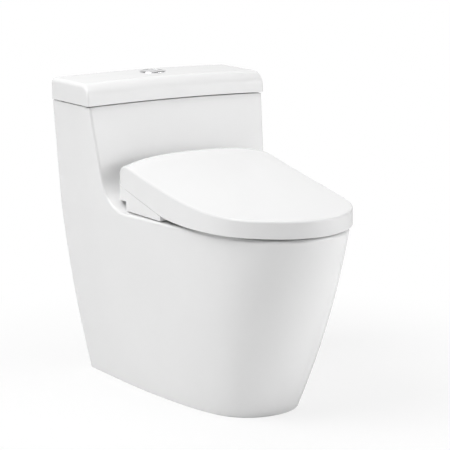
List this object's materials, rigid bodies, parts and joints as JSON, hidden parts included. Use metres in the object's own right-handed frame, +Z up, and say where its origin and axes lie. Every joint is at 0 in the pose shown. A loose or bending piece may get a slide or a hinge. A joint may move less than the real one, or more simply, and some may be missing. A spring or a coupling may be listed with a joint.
{
  "type": "smart toilet with heated seat",
  "caption": "White one-piece glazed toilet with skirted base and integral tank, chrome dual flush button and a heated bidet seat unit under a sloping closed lid.",
  "frame": {"origin": "centre of the waste outlet at the floor", "axes": "+Z up, the bowl points to -Y, X = 0 is the plane of symmetry of the china"},
  "size_m": [0.4284, 0.707, 0.6539],
  "materials": {
    "china": "smooth white glaze, high gloss",
    "seat_plastic": "white gloss plastic",
    "chromed_plastic": "bright chrome plating",
    "grey_plastic": "grey moulded plastic",
    "valve_plastic": "off-white moulded plastic",
    "tube_plastic": "milky soft tube",
    "pipe_plastic": "white pipe plastic",
    "dark_plastic": "black moulded plastic",
    "rubber": "black rubber",
    "rubber_light": "light grey rubber",
    "steel": "stainless steel",
    "nozzle_steel": "polished stainless steel",
    "motor_steel": "zinc-plated motor can",
    "brass_fitting": "brass valve body",
    "circuit_board": "green circuit board with chips",
    "foil": "thin aluminium heating foil",
    "carbon": "black carbon filter block"
  },
  "bodies": {
    "china": {"china_skirt": "china", "china_deck": "china", "china_tank": "china", "china_bowl": "china", "china_waterways": "china", "outlet_adapter": "pipe_plastic", "outlet_seal": "rubber", "fill_valve_column": "valve_plastic", "fill_valve_washer": "rubber", "fill_valve_nut": "valve_plastic", "fill_valve_head": "valve_plastic", "refill_tube": "tube_plastic", "flush_valve_gasket": "rubber", "flush_valve_base": "valve_plastic", "flush_valve_head": "valve_plastic", "overflow_pipe": "valve_plastic", "flush_valve_bolts": "steel", "flush_valve_wing_nuts": "steel", "seat_mounting_plate": "grey_plastic", "seat_bolts": "steel", "seat_bolt_bushes": "rubber", "seat_bolt_nuts": "grey_plastic"},
    "tank_cover": {"tank_lid": "china", "tank_lid_pads": "rubber", "button_housing": "valve_plastic", "button_bezel": "chromed_plastic", "button_nut": "valve_plastic"},
    "full_flush": {"full_flush_button": "chromed_plastic", "full_flush_rod": "valve_plastic"},
    "half_flush": {"half_flush_button": "chromed_plastic", "half_flush_rod": "valve_plastic"},
    "canister": {"flush_valve_canister": "valve_plastic", "flush_valve_seal": "rubber"},
    "float": {"fill_valve_float": "valve_plastic"},
    "float_lever": {"fill_valve_lever": "valve_plastic"},
    "seat_unit": {"unit_base": "seat_plastic", "unit_cover": "seat_plastic", "hinge_pins": "steel", "hinge_dampers": "grey_plastic", "water_heater": "grey_plastic", "solenoid_valve": "brass_fitting", "control_board": "circuit_board", "deodoriser_fan": "dark_plastic", "nozzle_guide": "grey_plastic", "nozzle_motor": "motor_steel", "water_inlet_elbow": "grey_plastic", "cord_gland": "dark_plastic"},
    "pinion": {"nozzle_pinion": "grey_plastic"},
    "nozzle": {"nozzle_wand": "seat_plastic", "nozzle_tip": "nozzle_steel"},
    "inlet_nut": {"inlet_swivel_nut": "grey_plastic"},
    "drawer": {"filter_drawer": "seat_plastic", "carbon_filter": "carbon"},
    "release": {"release_button": "seat_plastic"},
    "seat": {"seat_upper": "seat_plastic", "seat_lower": "seat_plastic", "heating_foil": "foil", "seat_bumpers": "rubber_light"},
    "lid": {"seat_lid": "seat_plastic", "lid_bumpers": "rubber_light"}
  },
  "joints": [
    {"name": "tank_lid_lift", "type": "slide", "parent": "china", "child": "tank_cover", "axis": [0, 0, 1], "range_m": [0, 0.1]},
    {"name": "full_flush_press", "type": "slide", "parent": "tank_cover", "child": "full_flush", "axis": [0, 0, -1], "range_m": [0, 0.005], "stiffness_N_per_m": 400, "springref_m": -0.01},
    {"name": "half_flush_press", "type": "slide", "parent": "tank_cover", "child": "half_flush", "axis": [0, 0, -1], "range_m": [0, 0.005], "stiffness_N_per_m": 400, "springref_m": -0.01},
    {"name": "flush_valve_lift", "type": "slide", "parent": "china", "child": "canister", "axis": [0, 0, 1], "range_m": [0, 0.015]},
    {"name": "float_drop", "type": "slide", "parent": "china", "child": "float", "axis": [0, 0, 1], "range_m": [-0.02, 0]},
    {"name": "float_lever_swing", "type": "hinge", "parent": "china", "child": "float_lever", "pos_m": [-0.1, 0.186, 0.557], "axis": [-1, 0, 0], "range_deg": [-30, 0]},
    {"name": "unit_release_slide", "type": "slide", "parent": "china", "child": "seat_unit", "axis": [0, -1, 0], "range_m": [0, 0.045]},
    {"name": "release_press", "type": "slide", "parent": "seat_unit", "child": "release", "axis": [-1, 0, 0], "range_m": [0, 0.002], "stiffness_N_per_m": 800, "springref_m": -0.002},
    {"name": "filter_drawer_slide", "type": "slide", "parent": "seat_unit", "child": "drawer", "axis": [1, 0, 0], "range_m": [0, 0.025]},
    {"name": "inlet_nut_turn", "type": "hinge", "parent": "seat_unit", "child": "inlet_nut", "pos_m": [-0.159, 0.0444, 0.4044], "axis": [-1, 0, 0], "continuous": true},
    {"name": "nozzle_extend", "type": "slide", "parent": "seat_unit", "child": "nozzle", "axis": [0, -0.9063, -0.4226], "range_m": [0, 0.066]},
    {"name": "nozzle_pinion_turn", "type": "hinge", "parent": "seat_unit", "child": "pinion", "pos_m": [0, -0.01298, 0.42549], "axis": [1, 0, 0], "range_deg": [-635, 0]},
    {"name": "seat_hinge", "type": "hinge", "parent": "seat_unit", "child": "seat", "pos_m": [0, 0.057, 0.468], "axis": [-1, 0, 0], "range_deg": [0, 100]},
    {"name": "lid_hinge", "type": "hinge", "parent": "seat", "child": "lid", "pos_m": [0, 0.057, 0.468], "axis": [1, 0, 0], "range_deg": [-105, 0]}
  ],
  "couplings": [
    {"joint": "flush_valve_lift", "follows": "full_flush_press", "ratio": 3},
    {"joint": "float_lever_swing", "follows": "float_drop", "rad_per_m": 25},
    {"joint": "nozzle_pinion_turn", "follows": "nozzle_extend", "rad_per_m": -166.67}
  ]
}
